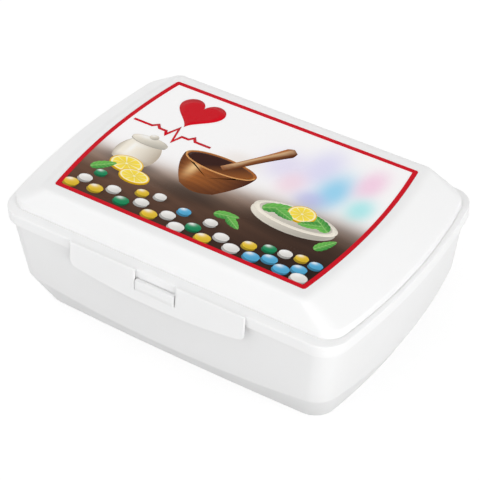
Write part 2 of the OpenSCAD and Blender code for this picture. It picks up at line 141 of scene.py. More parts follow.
def eased(rings, ease, steps, closed=False):
    """Rings through the given ones with every corner eased. Near a corner the path leaves the
    straight line at the ease distance and follows a quadratic curve whose middle control point is
    the corner. Straight stretches get rings close to both ends, so that they shade flat."""
    rings = [np.asarray(r, float) for r in rings]
    n = len(rings)
    legs = []
    for k, here in enumerate(rings):
        if ease[k] <= 0:
            legs.append([here])
            continue
        ends = []
        for other in (rings[k - 1], rings[(k + 1) % n]):
            d = other - here
            size = np.linalg.norm(d, axis=1, keepdims=True)
            ends.append(here + d * np.minimum(ease[k] / np.maximum(size, 1e-9), 0.47))
        legs.append([(1 - t) ** 2 * ends[0] + 2 * t * (1 - t) * here + t ** 2 * ends[1]
                     for t in np.linspace(0, 1, steps + 1)])
    path = []
    for k in range(n):
        path += legs[k]
        if k < n - 1 or closed:
            a, b = legs[k][-1], legs[(k + 1) % n][0]
            span = np.linalg.norm(b - a, axis=1).max()
            between = (0.05, 0.35, 0.65, 0.95) if span > 6 else (0.12, 0.88) if span > 1.2 else ()
            path += [a + (b - a) * t for t in between]
    return np.array(path)


def quads_of(rows, cols, wrap_rows=False, wrap_cols=True):
    """Corner numbers of the four-sided faces of a grid, joined end to end where it wraps."""
    r = np.arange(rows if wrap_rows else rows - 1)[:, None]
    c = np.arange(cols if wrap_cols else cols - 1)[None, :]
    r2, c2 = (r + 1) % rows, (c + 1) % cols
    corners = [r * cols + c, r * cols + c2, r2 * cols + c2, r2 * cols + c]
    return np.stack(corners, -1).reshape(-1, 4)


def fan(pole, start, n):
    """Corner numbers of the triangles that join a pole to a ring of n points."""
    i = np.arange(n)
    return np.stack([i * 0 + pole, start + (i + 1) % n, start + i], 1)


def closed_loft(rings, poles=None):
    """A closed skin through rings, with a pole inside the first and the last ring: a given point,
    or else the middle of the ring."""
    k, n = rings.shape[:2]
    if poles is None:
        poles = [rings[0].mean(0), rings[-1].mean(0)]
    tris = [fan(k * n, 0, n), fan(k * n + 1, (k - 1) * n, n)[:, [0, 2, 1]]]
    return np.concatenate([rings.reshape(-1, 3), poles]), quads_of(k, n), np.concatenate(tris)


def closed_band(rings):
    """A closed skin through rings whose last ring joins the first, as on a tube bent into a hoop."""
    k, n = rings.shape[:2]
    return rings.reshape(-1, 3), quads_of(k, n, wrap_rows=True), NO_TRIS


def plate(flat_x, flat_z, solid, shape, lift):
    """A plate from a grid of flat points and a mask of the cells that are solid. shape gives the
    front and the back distance at each point from its place and its distance to the nearest edge;
    lift turns a flat point and a distance into a point in space. Walls join front and back along
    every edge between a solid cell and an empty one."""
    count = flat_x.size
    node = np.arange(count).reshape(flat_x.shape)
    flat = np.stack([flat_x, flat_z], -1).reshape(-1, 2)
    m = np.pad(solid, 1)
    edges = []
    for empty, a, b in ((m[:-2, 1:-1], node[:-1, :-1], node[:-1, 1:]),
                        (m[2:, 1:-1], node[1:, 1:], node[1:, :-1]),
                        (m[1:-1, :-2], node[1:, :-1], node[:-1, :-1]),
                        (m[1:-1, 2:], node[:-1, 1:], node[1:, 1:])):
        found = solid & ~empty
        edges.append(np.stack([a[found], b[found]], 1))
    edges = np.concatenate(edges)
    start, run = flat[edges[:, 0]], flat[edges[:, 1]] - flat[edges[:, 0]]
    square = np.maximum((run ** 2).sum(1), 1e-12)
    near = np.full(count, np.inf)
    for block in np.array_split(np.arange(count), max(1, count // 4000)):
        d = flat[block, None] - start
        t = np.clip((d * run).sum(-1) / square, 0, 1)
        near[block] = np.sqrt(((d - t[..., None] * run) ** 2).sum(-1)).min(1)
    front, back = shape(flat[:, 0], flat[:, 1], near)
    verts = np.concatenate([lift(flat, front), lift(flat, back)])
    cells = np.stack([node[:-1, :-1], node[:-1, 1:], node[1:, 1:], node[1:, :-1]], -1)[solid]
    walls = np.stack([edges[:, 1], edges[:, 0], edges[:, 0] + count, edges[:, 1] + count], 1)
    quads = np.concatenate([cells, cells[:, ::-1] + count, walls])
    used, place = np.unique(quads, return_inverse=True)
    return verts[used], place.reshape(quads.shape), NO_TRIS


def upright(flat, out):
    """A flat point and a distance in space: the plate stands along X and faces the front."""
    return np.column_stack([flat[:, 0], -out, flat[:, 1]])


def drop(near, radius):
    """How far a quarter-round edge has dropped below the face, by the distance from the edge."""
    inner = radius - np.minimum(near, radius)
    return radius - np.sqrt(np.maximum(radius ** 2 - inner ** 2, 0))


def ticks(stops, radius, step):
    """Grid lines at every stop, crowded as a quarter-round needs beside it, and even between."""
    crowd = radius * np.array([0.06, 0.22, 0.5])
    lines = [float(stops[0])]
    for a, b in zip(stops[:-1], stops[1:]):
        inner = []
        if b - a > 2.4 * radius:
            count = max(2, int(np.ceil((b - a) / step)) + 1)
            inner = [*(a + crowd), *np.linspace(a + radius, b - radius, count), *(b - crowd)[::-1]]
        lines += inner + [float(b)]
    return np.array(lines)


def joined(skins):
    """Several closed skins as one set of points and faces."""
    base = np.cumsum([0] + [len(v) for v, _, _ in skins])
    verts, quads, tris = zip(*[(v, q + b, t + b) for (v, q, t), b in zip(skins, base)])
    return np.concatenate(verts), np.concatenate(quads), np.concatenate(tris)


def outward(skin):
    """The skin with its faces turned outwards, by the sign of the volume that they enclose."""
    v, q, t = skin
    a, b, c, d = (v[q[:, i]] for i in range(4))
    volume = (np.cross(a, b) * c).sum() + (np.cross(a, c) * d).sum()
    volume += (np.cross(v[t[:, 0]], v[t[:, 1]]) * v[t[:, 2]]).sum()
    return skin if volume > 0 else (v, q[:, ::-1], t[:, ::-1])


def placed(name, data):
    """A new object in the scene."""
    thing = bpy.data.objects.new(name, data)
    bpy.context.scene.collection.objects.link(thing)
    return thing


def piece(name, skins, body, stands_for, slot, colours=None, crease=38):
    """One object from closed skins in millimetres, in the material of its slot. It rides on its
    body and stands for CAD nodes. Edges that turn by more than the crease angle stay sharp."""
    v, q, t = joined([outward(s) for s in skins])
    v = (v - [0, MID_Y, 0]) * MM
    mesh = bpy.data.meshes.new(name)
    mesh.vertices.add(len(v))
    mesh.vertices.foreach_set("co", v.astype(np.float32).ravel())
    corners = np.concatenate([q.ravel(), t.ravel()]).astype(np.int32)
    mesh.loops.add(len(corners))
    mesh.loops.foreach_set("vertex_index", corners)
    starts = np.concatenate([np.arange(len(q)) * 4, len(q) * 4 + np.arange(len(t)) * 3])
    mesh.polygons.add(len(starts))
    mesh.polygons.foreach_set("loop_start", starts.astype(np.int32))
    mesh.polygons.foreach_set("use_smooth", np.ones(len(starts), bool))
    mesh.update(calc_edges=True)
    mesh.set_sharp_from_angle(angle=np.radians(crease))
    if colours is not None:
        paint = mesh.color_attributes.new("print", "FLOAT_COLOR", "POINT")
        rgba = np.column_stack([colours, np.ones(len(colours))])
        paint.data.foreach_set("color", rgba.astype(np.float32).ravel())
    mesh.materials.append(MATERIALS[slot])
    thing = placed(name, mesh)
    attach(thing, body)
    if stands_for:
        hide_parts(*stands_for)


def arc(centre, radius, first, last, n):
    """Points on an arc from one angle to another, in degrees."""
    return centre + radius * rays(np.radians(np.linspace(first, last, n)))


def turns(n):
    """n even directions all round."""
    return np.linspace(0, 2 * np.pi, n + 1)[:-1]


def oval(x, y, rx, ry, n):
    """An ellipse of n points."""
    return [x, y] + [rx, ry] * rays(turns(n))


def along_lines(points, n):
    """Points along straight lines from point to point, n to a line, without the last one."""
    p = np.asarray(points, float)
    t = np.linspace(0, 1, n, endpoint=False)[None, :, None]
    return (p[:-1, None] + (p[1:] - p[:-1])[:, None] * t).reshape(-1, 2)


def across_x(x, section):
    """A section in Y and Z as a ring at one x."""
    return np.column_stack([np.full(len(section), x), section])


def hinge_eye(middle, half, web, first, last, back, n):
    """A plate round a pin. Its outline is the edge of a web, an arc round the pin between two
    angles, and a line back to the web. Outline and bore are rings at both faces, joined into a
    hoop, and each bore point lies in the direction of its outline point."""
    centre = np.array([PIN_OUT, PIN_Z])
    outline = np.concatenate([along_lines(web, 8), arc(centre, EYE_R, first, last, 34),
                              along_lines(back, n)[1:]])
    way = outline - centre
    hole = centre + BORE_R * way / np.linalg.norm(way, axis=1, keepdims=True)
    x0, x1 = middle - half, middle + half
    rings = [across_x(x0, outline), across_x(x1, outline), across_x(x1, hole), across_x(x0, hole)]
    return closed_band(eased(rings, [0.35, 0.35, 0.15, 0.15], 4, closed=True))


def bar(x0, x1, section, ease=0.25):
    """A bar along X with the given section, its end faces closed and all its edges eased."""
    p = np.asarray(section, float)
    p = along_lines(np.vstack([p, p[:1]]), 6)
    mid = p.mean(0)
    small = mid + (p - mid) * 0.3
    rings = [across_x(x0, small), across_x(x0, p), across_x(x1, p), across_x(x1, small)]
    return closed_loft(eased(rings, [0, ease, ease, 0], 3))


def front_side(skin):
    """The skin mirrored to the front, with its faces turned back outwards."""
    v, q, t = skin
    return v * [1, -1, 1], q[:, ::-1], t[:, ::-1]


# ---------------- materials

def plug(tree, socket, value):
    """Feeds an input from a socket, or sets it to a value."""
    if isinstance(value, bpy.types.NodeSocket):
        tree.links.new(value, socket)
    else:
        socket.default_value = value


def feed(tree, node, **values):
    """Feeds or sets a node's inputs by name."""
    for key, value in values.items():
        plug(tree, node.inputs[key.replace("_", " ")], value)


def put(tree, kind, **values):
    """A new node. A key in small letters is one of its settings, any other names an input."""
    made = tree.nodes.new("ShaderNode" + kind)
    for key in [k for k in values if k.islower()]:
        setattr(made, key, values.pop(key))
    feed(tree, made, **values)
    return made


def calc(tree, how, *terms):
    """The result of a Math node on sockets or numbers."""
    made = put(tree, "Math", operation=how)
    for socket, term in zip(made.inputs, terms):
        plug(tree, socket, term)
    return made.outputs[0]


def object_place(tree):
    """The place of a shaded point in the object's own frame."""
    return put(tree, "TexCoord").outputs["Object"]


def mould_skin_group():
    """The skin of moulded plastic: a slow drift of tone, a fine spark-eroded grain, a shallow
    orange peel, smudges from handling, and sparse hairline scuffs that run in two directions."""
    g = bpy.data.node_groups.new("mould_skin", "ShaderNodeTree")
    for name, value in (("Roughness", 0.35), ("Smudge", 0.1), ("Grain", 0.1), ("Scuff", 0.1),
                        ("Drift", 0.03)):
        s = g.interface.new_socket(name=name, in_out="INPUT", socket_type="NodeSocketFloat")
        s.default_value = value
    for name, kind in (("Tone", "Float"), ("Roughness", "Float"), ("Normal", "Vector")):
        g.interface.new_socket(name=name, in_out="OUTPUT", socket_type="NodeSocket" + kind)
    given, result = g.nodes.new("NodeGroupInput").outputs, g.nodes.new("NodeGroupOutput")
    place = object_place(g)

    def noise(scale, detail, source=place):
        made = put(g, "TexNoise", Vector=source, Scale=scale, Detail=detail, Roughness=0.55)
        return made.outputs["Fac"]

    def ramp(value, low, high):
        made = put(g, "MapRange", Value=value, From_Min=low, From_Max=high)
        return made.outputs["Result"]

    def scuffs(turn, stretch):
        m = put(g, "Mapping", Vector=place, Rotation=(0.3, 0.2, turn), Scale=stretch)
        return ramp(noise(1.0, 3.0, m.outputs["Vector"]), 0.69, 0.76)

    marks = calc(g, "MAXIMUM", scuffs(0.5, (2400, 70, 600)), scuffs(-0.9, (60, 2600, 500)))
    marks = calc(g, "MULTIPLY", marks, given["Scuff"])
    drift = calc(g, "MULTIPLY", calc(g, "SUBTRACT", noise(16, 2), 0.5), given["Drift"])
    smudge = calc(g, "MULTIPLY", ramp(noise(38, 5), 0.42, 0.7), given["Smudge"])
    rough = calc(g, "ADD", calc(g, "ADD", smudge, marks), given["Roughness"])
    grain = calc(g, "MULTIPLY", noise(3600, 2), given["Grain"])
    height = calc(g, "SUBTRACT", calc(g, "ADD", noise(420, 1), grain), marks)
    bump = put(g, "Bump", Strength=0.12, Distance=0.00006, Height=height)
    feed(g, result, Tone=drift, Roughness=rough, Normal=bump.outputs["Normal"])
    return g


MOULD_SKIN = mould_skin_group()


def bare_material(name, **values):
    """A material with its node tree and its Principled shader, whose inputs are set by name."""
    m = bpy.data.materials.new(name)
    m.use_nodes = True
    shader = m.node_tree.nodes["Principled BSDF"]
    feed(m.node_tree, shader, **values)
    return m, m.node_tree, shader


def skinned(tree, shader, colour, roughness, smudge, grain, scuff, drift):
    """Places the mould skin in a material: its tone shifts the colour, and its roughness and
    normal feed the shader."""
    skin = put(tree, "Group", node_tree=MOULD_SKIN, Roughness=roughness, Smudge=smudge,
               Grain=grain, Scuff=scuff, Drift=drift).outputs
    toned = put(tree, "HueSaturation", Color=colour, Value=calc(tree, "ADD", skin["Tone"], 1.0))
    feed(tree, shader, Base_Color=toned.outputs["Color"], Roughness=skin["Roughness"],
         Normal=skin["Normal"])


def moulded_plastic(name, colour, soft, *skin):
    """A plastic that lets a little light in below its surface."""
    m, tree, shader = bare_material(name, IOR=1.49, Subsurface_Weight=soft, Subsurface_Scale=0.0015,
                                    Subsurface_Radius=(1.0, 0.95, 0.9))
    skinned(tree, shader, (*colour, 1), *skin)
    return m


def printed_film():
    """The printed film: its colours come from the print attribute, under a fine screen of dots,
    and it is smoother than the plastic round it."""
    m, tree, shader = bare_material("printed_film", IOR=1.5, Specular_IOR_Level=0.07)
    dots = put(tree, "TexVoronoi", Vector=object_place(tree), Scale=3400.0, Randomness=0.25)
    screen = put(tree, "MapRange", Value=dots.outputs["Distance"], From_Min=0.0, From_Max=0.7,
                 To_Min=1.02, To_Max=0.97)
    colour = put(tree, "Attribute", attribute_name="print").outputs["Color"]
    toned = put(tree, "HueSaturation", Color=colour, Value=screen.outputs["Result"])
    skinned(tree, shader, toned.outputs["Color"], 0.24, 0.08, 0.05, 0.12, 0.02)
    return m


def drawn_wire():
    """Steel wire drawn along X: long faint lines in its colour, its roughness and its surface."""
    m, tree, shader = bare_material("drawn_wire", Metallic=1.0)
    stretch = put(tree, "Mapping", Vector=object_place(tree), Scale=(40, 4000, 4000)).outputs["Vector"]
    lines = put(tree, "TexNoise", Vector=stretch, Scale=1.0, Detail=3.0).outputs["Fac"]
    tint = put(tree, "Mix", data_type="RGBA", Factor=lines, A=(0.55, 0.56, 0.57, 1),
               B=(0.74, 0.75, 0.76, 1))
    rough = put(tree, "MapRange", Value=lines, To_Min=0.2, To_Max=0.42)
    bump = put(tree, "Bump", Strength=0.2, Distance=0.00003, Height=lines)
    feed(tree, shader, Base_Color=tint.outputs["Result"], Roughness=rough.outputs["Result"],
         Normal=bump.outputs["Normal"])
    return m


# Each plastic: its slot, colour and inner glow, then roughness, smudge, grain, scuff and drift.
# The tub and the flap are the lid's white plastic set darker, a painted shade on their walls.
MATERIALS = {slot: moulded_plastic(slot, *look) for slot, *look in (
    ("tub_plastic", (0.82, 0.82, 0.82), 0.12, 0.33, 0.10, 0.25, 0.14, 0.03),
    ("lid_plastic", (0.86, 0.86, 0.86), 0.12, 0.30, 0.10, 0.20, 0.12, 0.03),
    ("flap_plastic", (0.83, 0.83, 0.83), 0.12, 0.28, 0.10, 0.15, 0.20, 0.03),
    ("divider_plastic", (0.82, 0.84, 0.86), 0.20, 0.42, 0.12, 0.40, 0.25, 0.04),
    ("tray_plastic", (0.76, 0.82, 0.87), 0.25, 0.38, 0.12, 0.35, 0.20, 0.04))}
MATERIALS["pin_steel"] = drawn_wire()
MATERIALS["label_film"] = printed_film()


# ---------------- the tub

def one_side(ring, place, out, limit=np.inf):
    """The points on a ring's right side (out 0) or back side (out 1), in order along it."""
    r = ring[(ring[:, out] > 0) & (abs(ring[:, place]) < limit)]
    return r[np.argsort(r[:, place])]


def tub_shell():
    """The tub from the middle of its foot out, up the bevel and the wall, over the lip and down
    inside to the middle of its floor."""
    path = ((at_height(foot(40), 0), 0), (at_height(foot(FOOT_EASE), 0), 0.4),
            (at_height(foot(0), 1), 0.6), (bevel_ring(0, 0), 0.6), (tub_top_ring(0), 0.45),
            (tub_top_ring(WALL), 0.45), (bevel_ring(WALL, BEVEL_WALL), 1.6),
            (at_height(foot(WALL + FOOT_EASE), FLOOR), 1.6), (at_height(foot(40), FLOOR), 0))
    return closed_loft(eased(*zip(*path), 6))


def wall_line(inset, levels, at, along_x):
    """The tub's inner wall at each height: how far back it stands at a place along X, or else how
    far to the right at a place along Y. It is read from the wall's rings, between their corners."""
    place, out, limit = (0, 1, 75) if along_x else (1, 0, 48)
    rings = [one_side(inside_ring(z, inset), place, out, limit) for z in levels]
    return np.array([np.interp(at, r[:, place], r[:, out]) for r in rings])


def guide_rib(at, along_x, hand):
    """A rib that runs up a wall from the floor: a half-round nosed section, carried up the wall's
    inner line and drawn in at its top. at is its place along the wall, hand the wall it is on."""
    levels = np.concatenate([np.linspace(FLOOR - 0.4, 13.5, 8), np.linspace(15, 26.6, 8),
                             [27.0, 27.3, 27.4]])
    reach = np.full((len(levels), 1), RIB_OUT)
    reach[-3:, 0] = 2.1, 1.6, 0.9
    across = np.array([-RIB_HALF] * 3 + [-0.45, 0, 0.45] + [RIB_HALF] * 3)
    depth = np.array([-0.8, 0, 0.8, 0.97, 1.0, 0.97, 0.8, 0, -0.8])
    line = wall_line(0, np.maximum(levels, FLOOR), at, along_x)
    out = hand * (line[:, None] - np.where(depth > 0, depth * reach, depth))
    side = np.broadcast_to(at + across, out.shape)
    z = np.broadcast_to(levels[:, None], out.shape)
    return closed_loft(np.stack([side, out, z] if along_x else [out, side, z], -1))


def tub_ear(middle):
    """An ear behind the tub, with a web that runs down into the wall."""
    return hinge_eye(middle, EAR_HALF, [[63.4, 42.0], [63.4, 51.3], [66.14, 51.7]], 189, -69,
                     [[70.43, 49.2], [63.4, 42.0]], 10)


def tub_catch():
    """The ledge on the tub's front that the flap's hook passes under."""
    return front_side(bar(-8.3, 8.3, [[63.2, 48.6], [66.4, 48.6], [66.4, 49.8], [64.5, 51.3],
                                      [63.2, 51.3]]))


ears = [tub_ear(side * HINGE_X + hand * EAR_OFF) for side in SIDES for hand in SIDES]
ribs = [guide_rib(x + hand * RIB_OFF, True, wall) for x in CROSS_X for hand in SIDES for wall in SIDES]
ribs += [guide_rib(hand * RIB_OFF, False, wall) for hand in SIDES for wall in SIDES]
piece("tub", [tub_shell(), tub_catch(), *ears, *ribs], "base", ["base_tub"], "tub_plastic")


# ---------------- the lid

def lid_skin():
    """The lid from the middle of the label's recess out over the plateau, down the shoulder and
    the step, across the shelf and round the rim, then back inside under it all. The step's top
    rises towards the front and the back, with the sixth power of the distance."""
    lifted = STEP_Z + STEP_LIFT * np.minimum(1, abs(step(0)[:, 1]) / STEP_Y) ** 6
    path = ((film(40), TOP_Z - FILM_T, 0), (film(-FILM_GAP), TOP_Z - FILM_T, 0.05),
            (film(-FILM_GAP), TOP_Z, 0.08), (plateau(0), TOP_Z, 2.6), (step(0), lifted, 0.8),
            (step(-0.2), SHELF_Z - 0.5, 0.12), (step(-1.1), SHELF_Z - 0.2, 0.2),
            (rim(0), EDGE_Z, 0.55), (rim(0), SKIRT_Z, 0.3), (rim(SKIRT_T), SKIRT_Z, 0.3),
            (rim(SKIRT_T), UNDER_Z, 0.4), (rim(LIP_OUT), UNDER_Z, 0.3), (rim(LIP_OUT), LIP_Z, 0.3),
            (rim(LIP_IN), LIP_Z, 0.3), (rim(LIP_IN), UNDER_Z, 0), (step(2.4), UNDER_Z + 0.3, 0),
            (step(2.4), STEP_Z - LID_T, 1.0), (plateau(LID_T), TOP_Z - LID_T, 1.5),
            (plateau(45), TOP_Z - LID_T, 0))
    return closed_loft(eased([at_height(o, z) for o, z, _ in path], [e for _, _, e in path], 6))


def lid_knuckle(side):
    """The knuckle behind the skirt, with a web up to the rim."""
    return hinge_eye(side * HINGE_X, KNUCKLE_HALF,
                     [[65.1, 52.3], [65.1, 57.6], [65.6, 57.6], [70.95, 54.95]], 57, -170,
                     [[66.12, 51.67], [65.1, 52.3]], 3)


piece("lid", [lid_skin(), lid_knuckle(-1), lid_knuckle(1)], "lid", ["lid_shell"], "lid_plastic")


# ---------------- the snap flap

def smooth(t):
    """From 0 to 1 as t does, level at both ends."""
    t = np.clip(t, 0, 1)
    return t * t * (3 - 2 * t)


def flap_low(x):
    """Height of the flap's lower edge: one wide arc, with a quarter-round at each end."""
    big = (FLAP_X ** 2 + FLAP_BOW ** 2) / (2 * FLAP_BOW)
    low = BEAD_Z - FLAP_H - FLAP_BOW + big - np.sqrt(big ** 2 - x ** 2)
    over = np.clip(abs(x) - (FLAP_X - FLAP_R), 0, FLAP_R)
    end = BEAD_Z - FLAP_H + FLAP_R - 0.5 - np.sqrt(FLAP_R ** 2 - over ** 2)
    return np.where(over > 0, np.maximum(low, end), low)


def flap_plate():
    """The flap as one plate with two slits, a window and a tongue. Its grid runs across in x, and
    up in three bands: from the lower edge to the slits' root, to the tongue's top, to the hinge.
    The plate leans out in proportion to the drop, and the tongue swells out of it above its root."""
    top, slit, straight = BEAD_Z + BEAD_R, TONGUE_X + SLIT, FLAP_X - FLAP_R
    round_end = straight + FLAP_R * np.sin(np.radians([15, 30, 45, 58, 68, 76, 82, 87, 90]))
    right = np.concatenate([ticks([slit, straight], 0.45, 1.6), round_end])
    x = np.concatenate([-right[::-1], ticks([-TONGUE_X, TONGUE_X], 0.4, 1.2), right])
    low = flap_low(x)
    far = smooth((abs(x) - 13) / 12)
    root = ROOT_Z + far * (low + 0.3 * (top - low) - ROOT_Z)
    ledge = LEDGE_Z + far * (low + 0.7 * (top - low) - LEDGE_Z)
    below = ticks([0, 5.6], 0.45, 0.8) / 5.6
    middle = ticks([ROOT_Z, LEDGE_Z - LEDGE_T - 0.04, LEDGE_Z - LEDGE_T + 0.02, LEDGE_Z], 0.35, 0.7)
    middle = (middle - ROOT_Z) / (LEDGE_Z - ROOT_Z)
    above = (ticks([LEDGE_Z, top], 0.6, 0.5) - LEDGE_Z) / (top - LEDGE_Z)
    z = np.concatenate([low + below[:-1, None] * (root - low),
                        root + middle[:-1, None] * (ledge - root),
                        ledge + above[:, None] * (top - ledge)])
    off = abs(x[1:] + x[:-1]) / 2
    row = np.arange(len(z) - 1)[:, None]
    slits = (row >= len(below) - 1) & (off > TONGUE_X) & (off < slit)
    window = (row >= len(below) + len(middle) - 2) & (off < slit)

    def shape(px, pz, near):
        wing, tongue = abs(px) > slit - 0.01, abs(px) < TONGUE_X + 0.01
        lean = FLARE * np.clip((BEAD_Z - pz) / (FLAP_H + FLAP_BOW), 0, 1)
        face = FACE + lean + tongue * TONGUE_OUT * smooth((pz - ROOT_Z) / 2.2)
        bead = np.sqrt(np.maximum(BEAD_R ** 2 - (pz - BEAD_Z) ** 2, 0))
        high = wing & (pz > BEAD_Z)
        front = face - high * (BEAD_R - bead)
        front = np.minimum(front, face - drop(near, 0.42) * np.where(wing, pz < top - 0.5, 1))
        back = BACK + lean * ~(tongue & (pz > LEDGE_Z - LEDGE_T))
        back = np.where(wing & (bead > 0), np.minimum(back, FACE - BEAD_R - bead), back)
        back = back + drop(near, 0.3) * ~high
        return np.maximum(front, back + 0.02), back

    return plate(np.broadcast_to(x, z.shape), z, ~(slits | window), shape, upright)


hook = front_side(bar(-9.3, 9.3, [[68.1, 45.9], [65.7, 46.6], [65.3, 48.1], [67.8, 48.1]], 0.2))
piece("snap_flap", [flap_plate(), hook], "latch", ["latch_flap"], "flap_plastic")


# ---------------- the hinge pins

def turned_pin(side):
    """A pin turned about its axis: a profile of radius along X, with eased ends."""
    profile = ((-PIN_HALF, 0.4), (-PIN_HALF, PIN_R), (PIN_HALF, PIN_R), (PIN_HALF, 0.4))
    rings = [across_x(side * HINGE_X + x, oval(PIN_OUT, PIN_Z, r, r, 40)) for x, r in profile]
    return closed_loft(eased(rings, [0, 0.3, 0.3, 0], 4))


for side, name in zip(SIDES, ("left", "right")):
    piece("pin_" + name, [turned_pin(side)], "base", ["hinge_pin_" + name], "pin_steel")


# ---------------- the dividers

def divider(notches, at, cross):
    """A divider as a plate: its grid runs from wall to wall, whose distance changes with height,
    with a notch at each given place. Its lines are spaced for one height, 20 mm, and stretched to
    the wall at every other. A cross divider stands at a place along X and is notched from below;
    the long one stands at a place along Y and is notched from above."""
    z = ticks([DIVIDER_LOW, NOTCH_Z, DIVIDER_Z], 0.35, 2.2)
    stops = sorted(n + side * NOTCH_HALF for n in notches for side in SIDES)
    inner = stops[-1]
    half = wall_line(DIVIDER_GAP, z, at, cross)[:, None]
    wide = wall_line(DIVIDER_GAP, [20.0], at, cross)[0]
    base = [*ticks([-wide] + stops, 0.35, 3.2), *ticks(stops + [wide], 0.35, 3.2)]
    base = np.unique(np.round(base, 5))
    share = np.clip((abs(base) - inner) / (abs(base).max() - inner), 0, 1)
    across = np.sign(base) * (np.minimum(abs(base), inner) + share * (half - inner))
    up = np.broadcast_to(z[:, None], across.shape)
    off = (across[:-1, 1:] + across[:-1, :-1])[..., None] / 2 - notches
    height = (up[1:, 1:] + up[:-1, 1:]) / 2
    cut = (abs(off) < NOTCH_HALF).any(-1) & ((height < NOTCH_Z) == cross)

    def shape(px, pz, near):
        face = DIVIDER_T / 2 - drop(near, 0.35)
        return face, -face

    def sideways(flat, out):
        return np.column_stack([at + out, flat])

    return plate(across, up, ~cut, shape, sideways if cross else upright)


piece("divider_long", [divider(CROSS_X, 0.0, False)], "base", ["long_divider"], "divider_plastic")
for x, name in zip(CROSS_X, ("left", "middle", "right")):
    piece("divider_" + name, [divider([0.0], x, True)], "base", ["cross_divider_" + name],
          "divider_plastic")


# ---------------- the pill tray

LEFT_PART = inside_ring(TRAY_TOP, TRAY_GAP)[:, 0] < TRAY_RIGHT - 3.2


def tray_outline(z, inset):
    """The tray's outline at a height, drawn in by an inset: the tub's inner wall, cut off
    straight on the right with small rounds where the cut meets the walls."""
    wall = inside_ring(z, TRAY_GAP + inset)[LEFT_PART, :2]
    right, high, low, c = TRAY_RIGHT - inset, wall[0, 1], wall[-1, 1], 1.4
    under = arc((right - c, low + c), c, -90, 0, 7)
    over = arc((right - c, high - c), c, 0, 90, 7)
    straight = along_lines([[right, low + c], [right, high - c]], 26)[1:]
    return np.concatenate([wall, under, straight, over])


def nearest_cut(centre, shape, ways):
    """Distance from a centre to a closed outline along each direction, by the crossing of the ray
    with every edge of the outline."""
    a = shape - centre
    d = np.roll(a, -1, axis=0) - a
    ax, ay, dx, dy = a[:, 0], a[:, 1], d[:, 0], d[:, 1]
    wx, wy = np.cos(ways)[:, None], np.sin(ways)[:, None]
    det = wx * dy - wy * dx
    with np.errstate(divide="ignore", invalid="ignore"):
        far = (ax * dy - ay * dx) / det
        part = (ax * wy - ay * wx) / det
    ok = (far > 0) & (part >= -1e-9) & (part <= 1 + 1e-9)
    return np.where(ok, far, np.inf).min(1)


def tray_cell_outline(x0, y0, x1, y1, z):
    """One cell at a height: its rounded rectangle, kept inside the tray's own leaning wall. Both
    are read as distances from the cell's middle, and the shorter one is taken and evened out."""
    centre = np.array([(x0 + x1) / 2, (y0 + y1) / 2])
    hx, hy = (x1 - x0) / 2 - CELL_R, (y1 - y0) / 2 - CELL_R
    corners = np.concatenate([arc(centre + [sx * hx, sy * hy], CELL_R, a, a + 90, 12)
                              for sx, sy, a in ((1, 1, 0), (-1, 1, 90), (-1, -1, 180), (1, -1, 270))])
    ways = turns(96)
    reach = np.minimum(nearest_cut(centre, corners, ways),
                       nearest_cut(centre, tray_outline(z, TRAY_T), ways))
    for _ in range(3):
        reach = np.minimum(reach, (np.roll(reach, 1) + reach + np.roll(reach, -1)) / 3)
    return centre + reach[:, None] * rays(ways)


def tray_cells():
    """The cells' skins, two from left to right and three from front to back. Boxes that reach the
    tub's wall run on through it, and the wall cuts them."""
    left = -RIM_X - SIDE_BOW + TUB_IN + WALL + LEAN_X + TRAY_GAP
    near = -RIM_Y + TUB_IN + WALL + LEAN_Y + TRAY_GAP
    wide, deep = (TRAY_RIGHT - left - 3 * TRAY_T) / 2, (-2 * near - 4 * TRAY_T) / 3
    cells = []
    for i in range(2):
        for j in range(3):
            x0 = TRAY_RIGHT - TRAY_T - wide - i * (wide + TRAY_T)
            y0 = near + TRAY_T + j * (deep + TRAY_T)
            box = (x0 - 20 * (i == 1), y0 - 12 * (j == 0), x0 + wide, y0 + deep + 12 * (j == 2))
            top, low = tray_cell_outline(*box, TRAY_TOP), tray_cell_outline(*box, TRAY_FLOOR + 1)
            mid = low.mean(0)
            rings = [at_height(top, TRAY_TOP), at_height(mid + (low - mid) * 0.985, TRAY_FLOOR),
                     at_height(mid + (low - mid) * 0.25, TRAY_FLOOR)]
            cells.append(eased(rings, [0, 3.2, 0], 7))
    return cells


